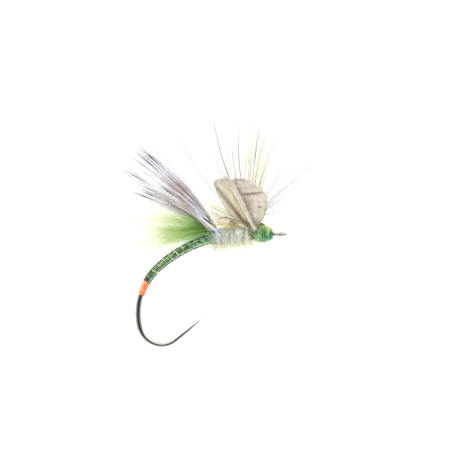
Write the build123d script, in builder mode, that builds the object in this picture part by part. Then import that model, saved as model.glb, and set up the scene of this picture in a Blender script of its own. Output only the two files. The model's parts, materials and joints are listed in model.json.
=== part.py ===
from build123d import *
from math import cos, pi, radians, sin, tau
import os

# A dry fly, tied on a curved barbless hook, in millimetres.
#
# The hook lies in the XZ plane with its eye at the front (+X) and its bend hanging below (-Z). The origin
# is the centre of the eye. From the eye back along the shank come the head, the foam tied in behind it,
# the dubbed thorax, the roots of the wings and of the green tuft, the ribbed abdomen under its clear
# coat, and the orange butt. The wings, the tuft, the foam and its hackle each lean on their roots.

os.makedirs("parts", exist_ok=True)

# ---------------------------------------------------------------- driving dimensions
# Hook wire: straight shank, a long hump, the back, the bend, the throat and the straight spear.
wire_radius = 0.29
bend_wire_radius = 0.25
spear_wire_radius = 0.226
point_radius = 0.02
eye_ring_radius = 0.49
eye_wire_radius = 0.18
eye_neck_radius = 0.16
eye_bore_radius = 0.32
eye_gap = 0.05
eye_gap_angle = 155
shank_length = 3.5
hump_radius, hump_sweep = 14.1, 42
back_radius, back_sweep = 7.15, 58
bend_radius, bend_sweep = 2.73, 49
throat_radius, throat_sweep = 2.36, 70
spear_length = 3.8

# Places along the wire, as distances from the eye ring.
neck_end = 1.05
whip_start = 0.45
head_start = 0.95
head_end = 2.6
foam_tie_end = 3.25
thorax_end = 6.7
lashing_start = 6.95
abdomen_start = 7.4
abdomen_end = 16.0
butt_end = 17.6

# Layers over the wire.
thread_base_radius = 0.34
butt_front_radius, butt_rear_radius = 0.42, 0.39
butt_lengths = 4
floss_front_radius, floss_rear_radius = 0.51, 0.37
coat_thickness = 0.08
rib_wire_radius = 0.045
rib_turns, rib_points_per_turn = 10, 12
rib_margin = 0.3
lashing_radius, lashing_waist = 0.62, 0.55
foam_tie_front_radius, foam_tie_rear_radius = 0.66, 0.6

# Head.
head_radius = 1.0
head_front_radius, head_rear_radius = 0.72, 0.6
whip_radius = 0.64
thread_pitch = 0.16
thread_relief = 0.03
varnish_thickness = 0.05
stub_radius, stub_length = 0.08, 0.32
stub_places_and_leans = ((1.55, 20), (1.75, -5))

# Thorax.
lump_count = 5
lump_radius, lump_half_length = 1.02, 0.5
lump_drop = 0.1
turn_radius, turn_wire_radius = 0.8, 0.05
hair_count = 44
hair_radius, hair_tip_radius = 0.022, 0.015
hair_margin, hair_arc = 0.3, 150
shortest_hair, longest_hair = 0.35, 0.9
trimmed_radius = 0.16
trimmed_angles = (-45, 0, 45)
trimmed_start, trimmed_end = 4.2, 6.9
fit_gap = 0.02

# Foam: a flat neck bound with thread, a flap that leans back and a folded lobe in front of it.
neck_x = -3.35
neck_bottom, neck_top = 0.76, 1.9
neck_half_length, neck_half_width = 0.26, 0.66
wrap_thickness = 0.05
wrap_bottom, wrap_top = 0.86, 1.46
foam_thickness = 1.5
foam_underside = 1.52
flap_round, lobe_round = 0.3, 0.2
groove_radius, groove_tilt = 0.16, 29
groove_length = 4.1
groove_feet = ((-4.75, 1.9), (-3.9, 1.9))
crease_radius, crease_height = 0.07, 4.6
pit_radius = 0.12
pit_x, pit_z = -2.4, 3.05

# Hackle, wound round the neck of the foam.
stem_radius = 0.065
stem_turns, stem_steps_per_turn = 2, 16
stem_pitch = 0.15
stem_bottom = 1.04
barb_count = 48
near_barb_count = 10
barb_tiers, tier_rise = 4, 0.095
barb_radius, barb_tip_radius = 0.019, 0.015
fan_sweep = 165
far_lean, near_lean = 17, 48
tier_lean, end_lean = 5, 6
root_turn_start, root_turn_sweep = 0.14, 0.22
shortest_barb, longest_barb = 7.6, 11.2

# Wings, tuft and flash fan back from roots above the front of the abdomen.
root_x, root_z = -7.5, 0.42
root_spacing = 0.46
root_radius = 0.2
wing_thickness = 0.32
wing_splay = 9
near_wing_rise, near_wing_length, near_wing_width = 50, 11.8, 3.6
far_wing_rise, far_wing_length, far_wing_width = 32, 10.9, 3.4
wing_droop = 0.07
tuft_rise, tuft_length, tuft_width = 12, 8.8, 4.6
fan_teeth = 5
tooth_depth, corner_depth = 0.09, 0.1
flash_count = 4
flash_width, flash_thickness = 0.16, 0.04
flash_length, flash_fan = 6.4, 4
flash_start = 1

# ---------------------------------------------------------------- the wire's centre line
with BuildLine(Plane.XZ):
    shank = Line((-eye_ring_radius, 0), (-eye_ring_radius - shank_length, 0))
    hump = JernArc(shank @ 1, shank % 1, hump_radius, hump_sweep)
    back = JernArc(hump @ 1, hump % 1, back_radius, back_sweep)
    bend = JernArc(back @ 1, back % 1, bend_radius, bend_sweep)
    throat = JernArc(bend @ 1, bend % 1, throat_radius, throat_sweep)
    spear = Line(throat @ 1, (throat @ 1) + (throat % 1) * spear_length)
wire_runs = [shank, hump, back, bend, throat, spear]
bend_start = shank.length + hump.length + back.length
spear_start = bend_start + bend.length + throat.length


def wire_span(start, stop):
    """The edges of the wire's centre line between two distances from the eye ring."""
    span = []
    reached = 0.0
    for run in wire_runs:
        low = max(start - reached, 0) / run.length
        high = min(stop - reached, run.length) / run.length
        if high - low > 1e-6:
            span.append(run.edge().trim(low, high))
        reached += run.length
    return Wire(span)


def wire_plane(distance):
    """The plane square to the wire at a distance from the eye ring, with its x along +Y."""
    reached = 0.0
    for run in wire_runs:
        share = (distance - reached) / run.length
        if share <= 1 or run is spear:
            return Plane(run @ share, x_dir=(0, 1, 0), z_dir=run % share)
        reached += run.length


def disc(plane, radius):
    """A circle of a radius on a plane."""
    with BuildSketch(plane) as sketch:
        Circle(radius)
    return sketch.sketch


def sleeve_over_wire(stations, mode=Mode.ADD):
    """Sweeps a round body along the wire, tapering from each (distance, radius) to the next."""
    for (start, start_radius), (stop, stop_radius) in zip(stations, stations[1:]):
        ends = [disc(wire_plane(start), start_radius), disc(wire_plane(stop), stop_radius)]
        sweep(ends, path=wire_span(start, stop), multisection=True, mode=mode)


def fibre(start, direction, length, radius, tip_radius):
    """A straight six-sided hair, tapering to its tip."""
    direction = Vector(direction).normalized()
    ends = []
    for place, size in ((start, radius), (start + direction * length, tip_radius)):
        with BuildSketch(Plane(place, z_dir=direction)) as end:
            RegularPolygon(size, 6)
        ends.append(end.sketch)
    loft(ends)


def spread(index, step):
    """An even but unordered run of shares between 0 and 1."""
    return (index * step + 0.5) % 1.0


def finish(builder, name):
    """Labels a finished piece and writes its STEP file."""
    builder.part.label = name
    export_step(builder.part, f"parts/{name}.step")


# ---------------------------------------------------------------- hook
with BuildPart() as hook:
    sleeve_over_wire(
        [
            (0, eye_neck_radius),
            (neck_end, wire_radius),
            (bend_start, wire_radius),
            (bend_start + bend.length, bend_wire_radius),
            (spear_start, spear_wire_radius),
        ]
    )
    # The spear narrows slowly at first, then quickly into the point.
    for share, radius in ((0, spear_wire_radius), (0.45, 0.18), (0.8, 0.09), (1, point_radius)):
        add(disc(wire_plane(spear_start + share * spear_length), radius))
    loft()
    Torus(eye_ring_radius, eye_wire_radius)
    Cylinder(eye_bore_radius, 2 * eye_wire_radius, mode=Mode.SUBTRACT)
    # The end of the ring stops just short of the shank, which leaves the eye a fine slot.
    with Locations(Location((0, 0, 0), (0, 0, eye_gap_angle))):
        Box(
            2 * eye_ring_radius,
            eye_gap,
            3 * eye_wire_radius,
            align=(Align.MIN, Align.CENTER, Align.CENTER),
            mode=Mode.SUBTRACT,
        )
finish(hook, "hook")

# ---------------------------------------------------------------- thread under the dressing
with BuildPart() as thread_base:
    sleeve_over_wire([(whip_start, thread_base_radius), (abdomen_end, thread_base_radius)])
    add(hook.part, mode=Mode.SUBTRACT)
finish(thread_base, "shank_thread_base")

# ---------------------------------------------------------------- orange butt
with BuildPart() as butt:
    # Short lengths keep the thin band true to the bent wire beneath it.
    butt_outside = []
    butt_inside = []
    for length in range(butt_lengths + 1):
        share = length / butt_lengths
        place = abdomen_end + share * (butt_end - abdomen_end)
        butt_outside.append((place, butt_front_radius + share * (butt_rear_radius - butt_front_radius)))
        butt_inside.append((place, wire_radius))
    sleeve_over_wire(butt_outside)
    sleeve_over_wire(butt_inside, Mode.SUBTRACT)
finish(butt, "orange_butt")

# ---------------------------------------------------------------- abdomen: floss, rib and clear coat
floss_stations = [(abdomen_start, floss_front_radius), (abdomen_end, floss_rear_radius)]
coat_stations = [(place, radius + coat_thickness) for place, radius in floss_stations]
core_stations = [(place, thread_base_radius) for place, radius in floss_stations]

with BuildPart() as floss:
    sleeve_over_wire(floss_stations)
    sleeve_over_wire(core_stations, Mode.SUBTRACT)
finish(floss, "abdomen_floss")


def rib_point(turned):
    """A point on the rib's centre line, a screw thread over the floss, after some turns."""
    share = turned / rib_turns
    room = abdomen_end - abdomen_start - 2 * rib_margin
    distance = abdomen_start + rib_margin + share * room
    floss_share = (distance - abdomen_start) / (abdomen_end - abdomen_start)
    floss_radius = floss_front_radius + floss_share * (floss_rear_radius - floss_front_radius)
    radius = floss_radius + rib_wire_radius + fit_gap / 2
    across = radius * cos(tau * turned)
    up = radius * sin(tau * turned)
    return wire_plane(distance).from_local_coords((across, up, 0))


with BuildPart() as rib:
    rib_steps = range(rib_turns * rib_points_per_turn + 1)
    with BuildLine() as rib_path:
        Spline([rib_point(step / rib_points_per_turn) for step in rib_steps])
    with BuildSketch(Plane(rib_path.line @ 0, z_dir=rib_path.line % 0)):
        Circle(rib_wire_radius)
    sweep(path=rib_path.line)
finish(rib, "rib_wire")

with BuildPart() as coat:
    sleeve_over_wire(coat_stations)
    sleeve_over_wire(floss_stations, Mode.SUBTRACT)
    add(rib.part, mode=Mode.SUBTRACT)
finish(coat, "abdomen_coat")

# ---------------------------------------------------------------- head: thread, whip finish, varnish, stub
head_centre = (head_start + head_end) / 2


def head_profile_radius(distance):
    """The radius of the barrel-shaped head at a distance from the eye ring."""
    share = (distance - head_start) / (head_end - head_start)
    ends = head_front_radius + share * (head_rear_radius - head_front_radius)
    return ends + (head_radius - ends) * sin(pi * share)


def wound_thread(start, stop, radius_at):
    """Turns of thread side by side round the straight shank, each one a rounded ridge."""
    turns = round((stop - start) / thread_pitch)
    step = (stop - start) / turns
    with BuildSketch(Plane.XZ) as section:
        with BuildLine():
            for turn in range(turns):
                near = start + turn * step
                middle = near + step / 2
                far = near + step
                ThreePointArc(
                    (-eye_ring_radius - near, radius_at(near)),
                    (-eye_ring_radius - middle, radius_at(middle) + thread_relief),
                    (-eye_ring_radius - far, radius_at(far)),
                )
            Polyline(
                (-eye_ring_radius - stop, radius_at(stop)),
                (-eye_ring_radius - stop, thread_base_radius),
                (-eye_ring_radius - start, thread_base_radius),
                (-eye_ring_radius - start, radius_at(start)),
            )
        make_face()
    revolve(section.sketch, axis=Axis.X)


with BuildPart() as head:
    wound_thread(head_start, head_end, head_profile_radius)
finish(head, "head_thread")

with BuildPart() as whip:
    wound_thread(whip_start, head_start, lambda distance: whip_radius)
finish(whip, "whip_finish")

with BuildPart() as varnish:
    with BuildSketch(Plane.XZ):
        with BuildLine():
            varnish_shares = [step / 8 for step in range(9)]
            varnish_points = []
            for share in varnish_shares:
                place = head_start + share * (head_end - head_start)
                outer = head_profile_radius(place) + thread_relief + varnish_thickness
                varnish_points.append((-eye_ring_radius - place, outer))
            skin = Spline(varnish_points)
            Polyline(
                skin @ 1,
                (-eye_ring_radius - head_end, thread_base_radius),
                (-eye_ring_radius - head_start, thread_base_radius),
                skin @ 0,
            )
        make_face()
    revolve(axis=Axis.X)
    add(head.part, mode=Mode.SUBTRACT)
    with Locations((-eye_ring_radius - head_centre, 0, 0)):
        Cylinder(thread_base_radius, head_end - head_start + 1, rotation=(0, 90, 0), mode=Mode.SUBTRACT)
finish(varnish, "head_varnish")

with BuildPart() as stub:
    # Two trimmed quill ends stand up through the thread near the front of the head.
    for place, lean in stub_places_and_leans:
        foot = (-eye_ring_radius - place, 0, head_radius - stub_radius)
        upward = (sin(radians(lean)), 0, cos(radians(lean)))
        fibre(foot, upward, stub_length, stub_radius, stub_radius)
    add(head.part, mode=Mode.SUBTRACT)
    add(varnish.part, mode=Mode.SUBTRACT)
finish(stub, "hackle_stub")

# ---------------------------------------------------------------- thorax
with BuildPart() as foam_tie:
    # Crossing turns behind the head fill the step up to the dubbing.
    sleeve_over_wire([(head_end, foam_tie_front_radius), (foam_tie_end, foam_tie_rear_radius)])
    sleeve_over_wire([(head_end, thread_base_radius), (foam_tie_end, thread_base_radius)], Mode.SUBTRACT)
finish(foam_tie, "foam_tie_thread")

with BuildPart() as trimmed:
    # The trimmed roots of the two wings and the tuft lie side by side along the top of the shank.
    reach = thread_base_radius + trimmed_radius + 4 * fit_gap
    for around in trimmed_angles:
        across = reach * sin(radians(around))
        up = -reach * cos(radians(around))
        front = wire_plane(trimmed_start).from_local_coords((across, up, 0))
        rear = wire_plane(trimmed_end).from_local_coords((across, up, 0))
        extrude(disc(Plane(front, z_dir=rear - front), trimmed_radius), amount=(rear - front).length)
finish(trimmed, "trimmed_roots")

lump_step = (thorax_end - foam_tie_end) / lump_count
lump_places = [foam_tie_end + (lump + 0.5) * lump_step for lump in range(lump_count)]
valley_places = [foam_tie_end + lump * lump_step for lump in range(1, lump_count)]

with BuildPart() as turns:
    # One turn of tying thread lies in each valley between two lumps of dubbing.
    for place in valley_places:
        plane = wire_plane(place)
        with Locations(plane.shift_origin(plane.from_local_coords((0, lump_drop, 0)))):
            Torus(turn_radius, turn_wire_radius)
finish(turns, "thorax_thread_turns")

with BuildPart() as thorax:
    for place in lump_places:
        plane = wire_plane(place)
        centre = plane.from_local_coords((0, lump_drop, 0))
        with BuildSketch(Plane(centre, x_dir=plane.z_dir, z_dir=plane.x_dir)) as lump:
            Ellipse(lump_half_length, lump_radius)
            Rectangle(
                2 * lump_half_length,
                lump_radius,
                align=(Align.CENTER, Align.MAX),
                mode=Mode.SUBTRACT,
            )
        revolve(lump.sketch, axis=Axis(centre, plane.z_dir))
    bore = [(head_end, thread_base_radius), (abdomen_end, thread_base_radius)]
    sleeve_over_wire(bore, Mode.SUBTRACT)
    add(foam_tie.part, mode=Mode.SUBTRACT)
    add(trimmed.part, mode=Mode.SUBTRACT)
    add(turns.part, mode=Mode.SUBTRACT)
finish(thorax, "thorax_dubbing")

with BuildPart() as lashing:
    sleeve_over_wire([(lashing_start, lashing_radius), (abdomen_start, lashing_waist)])
    core = [(lashing_start, thread_base_radius), (abdomen_start, thread_base_radius)]
    sleeve_over_wire(core, Mode.SUBTRACT)
    add(thorax.part, mode=Mode.SUBTRACT)
    add(trimmed.part, mode=Mode.SUBTRACT)
finish(lashing, "wing_lashing")

with BuildPart() as hairs:
    # Loose hairs stand out of the dubbing all round, thickest and longest below.
    for hair in range(hair_count):
        room = thorax_end - foam_tie_end - 2 * hair_margin
        plane = wire_plane(foam_tie_end + hair_margin + room * spread(hair, 0.618))
        around = radians(hair_arc * (2 * spread(hair, 0.414) - 1))
        outward = plane.x_dir * sin(around) + plane.y_dir * cos(around)
        slant = plane.z_dir * (spread(hair, 0.732) - 0.3)
        downward_share = (1 + cos(around)) / 2
        length = shortest_hair + (longest_hair - shortest_hair) * spread(hair, 0.236) * downward_share
        fibre(plane.origin + outward * lump_radius, outward + slant, length, hair_radius, hair_tip_radius)
finish(hairs, "dubbing_hairs")

# ---------------------------------------------------------------- foam: neck, leaning flap, folded lobe
def foam_slab(outline, rounding):
    """A slab of foam with a smooth outline in the XZ plane, round edges and a flat underside."""
    with BuildSketch(Plane.XZ) as face:
        with BuildLine():
            Spline(*outline, periodic=True)
        make_face()
    slab = extrude(face.sketch, amount=foam_thickness / 2, both=True)
    fillet(slab.edges(), rounding)
    split(bisect_by=Plane.XY.offset(foam_underside), keep=Keep.TOP)


with BuildPart() as flap:
    foam_slab(
        (
            (-3.4, 1.0),
            (-4.7, 1.15),
            (-6.0, 2.5),
            (-7.0, 4.4),
            (-7.05, 5.8),
            (-6.2, 6.35),
            (-5.3, 5.7),
            (-4.2, 3.9),
            (-3.2, 2.0),
        ),
        flap_round,
    )
    # Two shallow grooves run up each face of the flap.
    rise = Vector(-sin(radians(groove_tilt)), 0, cos(radians(groove_tilt)))
    for side in (-1, 1):
        for foot_x, foot_z in groove_feet:
            foot = Vector(foot_x, side * (foam_thickness / 2 + groove_radius / 3), foot_z)
            with Locations(Plane(foot + rise * groove_length / 2, z_dir=rise)):
                Cylinder(groove_radius, groove_length, mode=Mode.SUBTRACT)
    with BuildSketch(Plane.XY.offset(neck_bottom)):
        with Locations((neck_x, 0)):
            Ellipse(neck_half_length, neck_half_width)
    extrude(amount=neck_top - neck_bottom)
finish(flap, "foam_flap")

with BuildPart() as lobe:
    foam_slab(
        (
            (-2.9, 1.2),
            (-1.85, 1.6),
            (-1.5, 2.9),
            (-1.9, 4.5),
            (-3.3, 5.85),
            (-4.5, 6.0),
            (-4.6, 5.1),
            (-3.9, 3.9),
            (-3.2, 2.4),
        ),
        lobe_round,
    )
    # A crease runs across both faces where the foam is folded, and a small pit marks the near one.
    for side in (-1, 1):
        with Locations((neck_x, side * foam_thickness / 2, crease_height)):
            Cylinder(crease_radius, foam_thickness * 4, rotation=(0, 90, 0), mode=Mode.SUBTRACT)
    with Locations((pit_x, -foam_thickness / 2, pit_z)):
        Sphere(pit_radius, mode=Mode.SUBTRACT)
    add(flap.part, mode=Mode.SUBTRACT)
finish(lobe, "foam_lobe")

# ---------------------------------------------------------------- thread and hackle round the neck
with BuildPart() as wraps:
    with BuildSketch(Plane.XY.offset(wrap_bottom)):
        with Locations((neck_x, 0)):
            Ellipse(neck_half_length + wrap_thickness, neck_half_width + wrap_thickness)
            Ellipse(neck_half_length, neck_half_width, mode=Mode.SUBTRACT)
    extrude(amount=wrap_top - wrap_bottom)
    add(flap.part, mode=Mode.SUBTRACT)
finish(wraps, "neck_thread_wraps")

stem_half_length = neck_half_length + wrap_thickness + stem_radius + fit_gap
stem_half_width = neck_half_width + wrap_thickness + stem_radius + fit_gap


def around_neck(turned, outward, height):
    """A point a little outside the stem, at a share of a turn round the neck from the front."""
    forward = (stem_half_length + outward) * cos(tau * turned)
    sideways = (stem_half_width + outward) * sin(tau * turned)
    return Vector(neck_x + forward, sideways, height)


with BuildPart() as stem:
    stem_points = []
    for step in range(stem_turns * stem_steps_per_turn + 1):
        turned = step / stem_steps_per_turn
        stem_points.append(around_neck(turned, 0, stem_bottom + turned * stem_pitch))
    with BuildLine() as stem_path:
        Spline(stem_points)
    sweep(disc(Plane(stem_path.line @ 0, z_dir=stem_path.line % 0), stem_radius), path=stem_path.line)
finish(stem, "hackle_stem")

with BuildPart() as barbs:
    # Most barbs stand in one fan behind the foam, and a few lie out towards -Y in front of it. Each
    # fan runs in order from the front of the neck to the back, in tiers, so that no two barbs meet.
    far_barb_count = barb_count - near_barb_count
    for side, count, flattest in ((1, far_barb_count, far_lean), (-1, near_barb_count, near_lean)):
        for barb in range(count):
            share = (barb + 0.5) / count
            # The tiers climb towards the top of the fan from both ends.
            tier = barb % barb_tiers
            if share >= 0.5:
                tier = barb_tiers - 1 - tier
            fan = radians(fan_sweep * share)
            lean = radians(flattest + tier_lean * (barb_tiers - 1 - tier) + end_lean * abs(cos(fan)))
            length = shortest_barb + (longest_barb - shortest_barb) * spread(barb, 0.414)
            turned = side * (root_turn_start + root_turn_sweep * share)
            outward = stem_radius + barb_radius + fit_gap
            start = around_neck(turned, outward, stem_bottom + tier * tier_rise)
            direction = (cos(lean) * cos(fan), side * sin(lean), cos(lean) * sin(fan))
            fibre(start, direction, length, barb_radius, barb_tip_radius)
finish(barbs, "hackle_barbs")


# ---------------------------------------------------------------- wings, tuft and flash
def fan_plane(side, rise):
    """The plane of a fan whose x runs out along it from its root, splayed to one side (-1, 0 or 1)."""
    lean = radians(rise)
    splay = radians(wing_splay * side)
    along = Vector(-cos(lean) * cos(splay), sin(splay), sin(lean) * cos(splay))
    upward = Vector(sin(lean), 0, cos(lean))
    return Plane((root_x, side * root_spacing, root_z), x_dir=along, z_dir=along.cross(upward))


def feather_fan(plane, length, width, droop):
    """A fan of fibres pressed flat: round at the root, widening outwards, with a toothed end."""
    shares = (0.15, 0.4, 0.7, 1 - tooth_depth)

    def edge_point(share, side):
        half_width = root_radius + (width / 2 - root_radius) * share
        return (length * share, side * half_width - droop * length * share**2)

    with BuildSketch(plane) as outline:
        with BuildLine():
            upper = Spline((0, root_radius), *[edge_point(share, 1) for share in shares])
            lower = Spline((0, -root_radius), *[edge_point(share, -1) for share in shares])
            ThreePointArc((0, root_radius), (-root_radius, 0), (0, -root_radius))
            teeth = []
            for tooth in range(2 * fan_teeth - 1):
                across = (tooth + 1) / (2 * fan_teeth)
                reach = 1 if tooth % 2 == 0 else 1 - tooth_depth
                rounding = 1 - corner_depth * (2 * across - 1) ** 2
                side = 1 - 2 * across
                half_width = width / 2 * reach
                teeth.append((length * reach * rounding, side * half_width - droop * length * reach**2))
            Polyline(upper @ 1, *teeth, lower @ 1)
        make_face()
    extrude(outline.sketch, amount=wing_thickness / 2, both=True)


with BuildPart() as near_wing:
    feather_fan(fan_plane(-1, near_wing_rise), near_wing_length, near_wing_width, wing_droop)
finish(near_wing, "near_wing")

with BuildPart() as far_wing:
    feather_fan(fan_plane(1, far_wing_rise), far_wing_length, far_wing_width, wing_droop)
finish(far_wing, "far_wing")

with BuildPart() as tuft:
    feather_fan(fan_plane(0, tuft_rise), tuft_length, tuft_width, 0)
finish(tuft, "green_tuft")

with BuildPart() as flash:
    # Flat shining strands lie side by side along the outer face of the near wing.
    outer_face = fan_plane(-1, near_wing_rise).offset(-wing_thickness / 2 - flash_thickness)
    with BuildSketch(outer_face):
        for strand in range(flash_count):
            step = strand - (flash_count - 1) / 2
            with Locations(Location((flash_start, step * 2 * flash_width), flash_fan * step)):
                Rectangle(flash_length, flash_width, align=(Align.MIN, Align.CENTER))
    extrude(amount=flash_thickness / 2, both=True)
finish(flash, "flash_strands")
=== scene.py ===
import math

import bpy
import numpy as np
from mathutils import Matrix, Vector
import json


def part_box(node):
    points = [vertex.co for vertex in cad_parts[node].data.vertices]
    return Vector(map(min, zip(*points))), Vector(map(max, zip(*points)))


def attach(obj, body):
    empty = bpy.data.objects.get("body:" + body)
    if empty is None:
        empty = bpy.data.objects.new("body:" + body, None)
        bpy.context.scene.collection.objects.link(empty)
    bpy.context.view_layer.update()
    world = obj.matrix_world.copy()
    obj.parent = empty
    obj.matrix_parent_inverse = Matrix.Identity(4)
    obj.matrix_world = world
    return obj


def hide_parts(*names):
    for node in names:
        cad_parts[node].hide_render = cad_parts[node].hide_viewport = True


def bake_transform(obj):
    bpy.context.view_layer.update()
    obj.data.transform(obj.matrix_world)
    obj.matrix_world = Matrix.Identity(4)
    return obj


# The looks of the dry fly, built round its CAD frame. The camera looks along +Y, the eye is at +X and
# +Z is up. Lengths are in millimetres until a mesh is made, which turns them into metres.

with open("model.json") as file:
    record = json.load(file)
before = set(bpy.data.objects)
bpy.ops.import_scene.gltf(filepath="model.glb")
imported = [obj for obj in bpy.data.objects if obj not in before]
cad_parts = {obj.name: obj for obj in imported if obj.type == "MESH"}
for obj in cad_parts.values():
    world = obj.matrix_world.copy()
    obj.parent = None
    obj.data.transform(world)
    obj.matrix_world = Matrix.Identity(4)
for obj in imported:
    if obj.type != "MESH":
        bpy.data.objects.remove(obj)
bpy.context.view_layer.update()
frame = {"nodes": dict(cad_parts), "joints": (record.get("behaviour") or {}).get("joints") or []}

MM = 0.001
ROOT_BODY = "hook_and_dressing"
X, Z = 0, 2
ACROSS = np.array([0.0, 1.0, 0.0])


def box(node):
    """The lowest and highest corner of a CAD node, in millimetres."""
    low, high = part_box(node)
    return np.array(low) / MM, np.array(high) / MM


def joint_point(name):
    """The point a joint turns about, in millimetres."""
    joint = next(joint for joint in frame["joints"] if joint["name"] == name)
    return np.array(joint["pos_m"]) / MM


# ---------------------------------------------------------------- small sums
def xyz(x, y, z):
    """Points or headings put together from their three parts."""
    return np.stack(np.broadcast_arrays(x, y, z), axis=-1)


def unit(vectors):
    """Vectors scaled to length one."""
    return vectors / np.maximum(np.linalg.norm(vectors, axis=-1, keepdims=True), 1e-12)


def shares(steps):
    """Even shares of the way from 0 to 1."""
    return np.linspace(0, 1, steps)


def clamp(values):
    return np.clip(values, 0, 1)


def eased(share):
    """Shares that crowd towards both ends."""
    return (1 - np.cos(np.pi * share)) / 2


def soft_bump(values, middle, width):
    return np.exp(-(((values - middle) / width) ** 2))


def around(sides):
    """Angles evenly round a ring."""
    return np.arange(sides) * math.tau / sides


# ---------------------------------------------------------------- the wire
# The wire's centre line under the dressing, as the frame's hook has it: a straight shank that starts
# behind the eye ring, and then an arc.
WIRE_START = -0.49
SHANK_LENGTH = 3.5
BACK_RADIUS = 14.1


def wire_at(distances):
    """Points on the wire's centre line, and its headings, at distances from the eye ring."""
    turned = np.maximum(distances - SHANK_LENGTH, 0) / BACK_RADIUS
    x = WIRE_START - np.minimum(distances, SHANK_LENGTH) - BACK_RADIUS * np.sin(turned)
    return xyz(x, 0.0, BACK_RADIUS * (np.cos(turned) - 1)), math.pi + turned


def wire_span(node, count):
    """So many distances from the eye ring, from a CAD node's front end to its rear end."""
    low, high = box(node)
    return np.linspace(WIRE_START - high[X], WIRE_START - low[X], count)


def round_wire(distances, turned, radius, drop=0.0):
    """Points round the wire: so far along it, turned from +Y towards +Z, so far out and dropped."""
    centre, heading = wire_at(distances)
    up = xyz(np.sin(heading), 0.0, -np.cos(heading))
    out = up * np.sin(turned)[..., None] + ACROSS * np.cos(turned)[..., None]
    points = centre + out * radius[..., None]
    points[..., Z] -= drop
    return points


# ---------------------------------------------------------------- meshes
def mesh_object(name, points, faces, look, attributes=None):
    """A smooth mesh object from a grid of points in millimetres, its faces and point attributes."""
    mesh = bpy.data.meshes.new(name)
    corners = faces.shape[1]
    mesh.vertices.add(points.size // 3)
    mesh.vertices.foreach_set("co", (points * MM).ravel())
    mesh.loops.add(faces.size)
    mesh.loops.foreach_set("vertex_index", faces.astype(np.int32).ravel())
    mesh.polygons.add(len(faces))
    mesh.polygons.foreach_set("loop_start", np.arange(0, faces.size, corners, dtype=np.int32))
    mesh.polygons.foreach_set("loop_total", np.full(len(faces), corners, dtype=np.int32))
    mesh.polygons.foreach_set("use_smooth", np.ones(len(faces), dtype=bool))
    mesh.update(calc_edges=True)
    mesh.validate()
    for key, values in (attributes or {}).items():
        layer = mesh.attributes.new(key, "FLOAT", "POINT")
        values = np.broadcast_to(values, points.shape[:-1])
        layer.data.foreach_set("value", values.astype(np.float32).ravel())
    mesh.materials.append(look)
    shown = bpy.data.objects.new(name, mesh)
    bpy.context.scene.collection.objects.link(shown)
    return shown


def tube_faces(count, steps, sides):
    """The faces of tubes whose points run ring by ring."""
    index = np.arange(count * steps * sides).reshape(count, steps, sides)
    after = np.roll(index, -1, axis=2)
    corners = [index[:, :-1], after[:, :-1], after[:, 1:], index[:, 1:]]
    return np.stack(corners, axis=-1).reshape(-1, 4)


def strands(name, paths, radii, look, sides=5, flatness=1.0, seed=1, extra=None):
    """Strands along paths (strand, step, 3), closed at both ends, flattened across the fly or round.

    radii has a radius for each point, or only those of every strand's root and tip. Each point gets its
    share of the way along as "share", a random number of its strand as "seed" and the extra attributes.
    """
    count, steps, _ = paths.shape
    if isinstance(radii, tuple):
        radii = np.broadcast_to(np.interp(shares(steps), [0, 1], radii), (count, steps))
    tangents = unit(np.gradient(paths, axis=1))
    skew = np.array([0.31, 0.87, 0.38])
    wide = unit(np.cross(tangents, skew if flatness == 1 else ACROSS))
    thin = np.cross(wide, tangents) * flatness
    turned = around(sides)[:, None]
    ring = wide[:, :, None] * np.cos(turned) + thin[:, :, None] * np.sin(turned)
    points = paths[:, :, None] + ring * radii[..., None, None]
    # Each end is closed by pinching its last ring to almost nothing.
    for end in (0, -1):
        points[:, end] = paths[:, end, None] + ring[:, end] * 1e-4
    own = np.random.default_rng(seed).random(count)[:, None, None]
    attributes = {"share": shares(steps)[:, None], "seed": own}
    for key, values in (extra or {}).items():
        attributes[key] = values.reshape(count, -1, 1)
    return mesh_object(name, points, tube_faces(count, steps, sides), look, attributes)


def headed_paths(roots, start_angles, end_angles, lengths, drift, steps):
    """Paths near the XZ plane whose angle above -X turns mostly near the root; drift is the rise in Y."""
    drift = np.broadcast_to(drift, lengths.shape)[:, None]
    share = shares(steps)
    middles = (share[1:] + share[:-1]) / 2
    angles = np.radians(end_angles[:, None] + (start_angles - end_angles)[:, None] * (1 - middles) ** 3)
    flat = np.sqrt(np.maximum(1 - drift**2, 0.05))
    run = xyz(-np.cos(angles) * flat, drift, np.sin(angles) * flat)
    return walked(roots, run * (lengths / (steps - 1))[:, None, None])


def walked(roots, moves):
    """Paths that start at roots and make moves (strand, step, 3) one after another."""
    still = np.zeros((len(roots), 1, 3))
    return roots[:, None] + np.concatenate([still, np.cumsum(moves, axis=1)], axis=1)


def lathe(name, distances, radii, look, sides=40, drop=0.0, relief=0.0):
    """A round body about the wire through radii at distances, with its ends closed."""
    sizes = radii[:, None] + np.broadcast_to(relief, (len(radii), sides))
    points = round_wire(distances[:, None], around(sides), sizes, drop)
    points[[0, -1]] = wire_at(distances[[0, -1]])[0][:, None]
    # Its rings run the other way round, so the corners of its faces do too.
    faces = np.roll(tube_faces(1, len(radii), sides)[:, ::-1], 1, axis=1)
    return mesh_object(name, points, faces, look)


def fit(piece, node=None, body=ROOT_BODY, bend=None):
    """Puts a piece on a body, and in place of a CAD node when one is named.

    bend is (root, angle above -X, reach). With it the piece's transform is only baked into its mesh and it
    is put on no body; the root, angle and reach are not used.
    """
    if bend is None:
        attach(piece, body)
    else:
        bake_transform(piece)
    if node:
        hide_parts(node)


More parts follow.
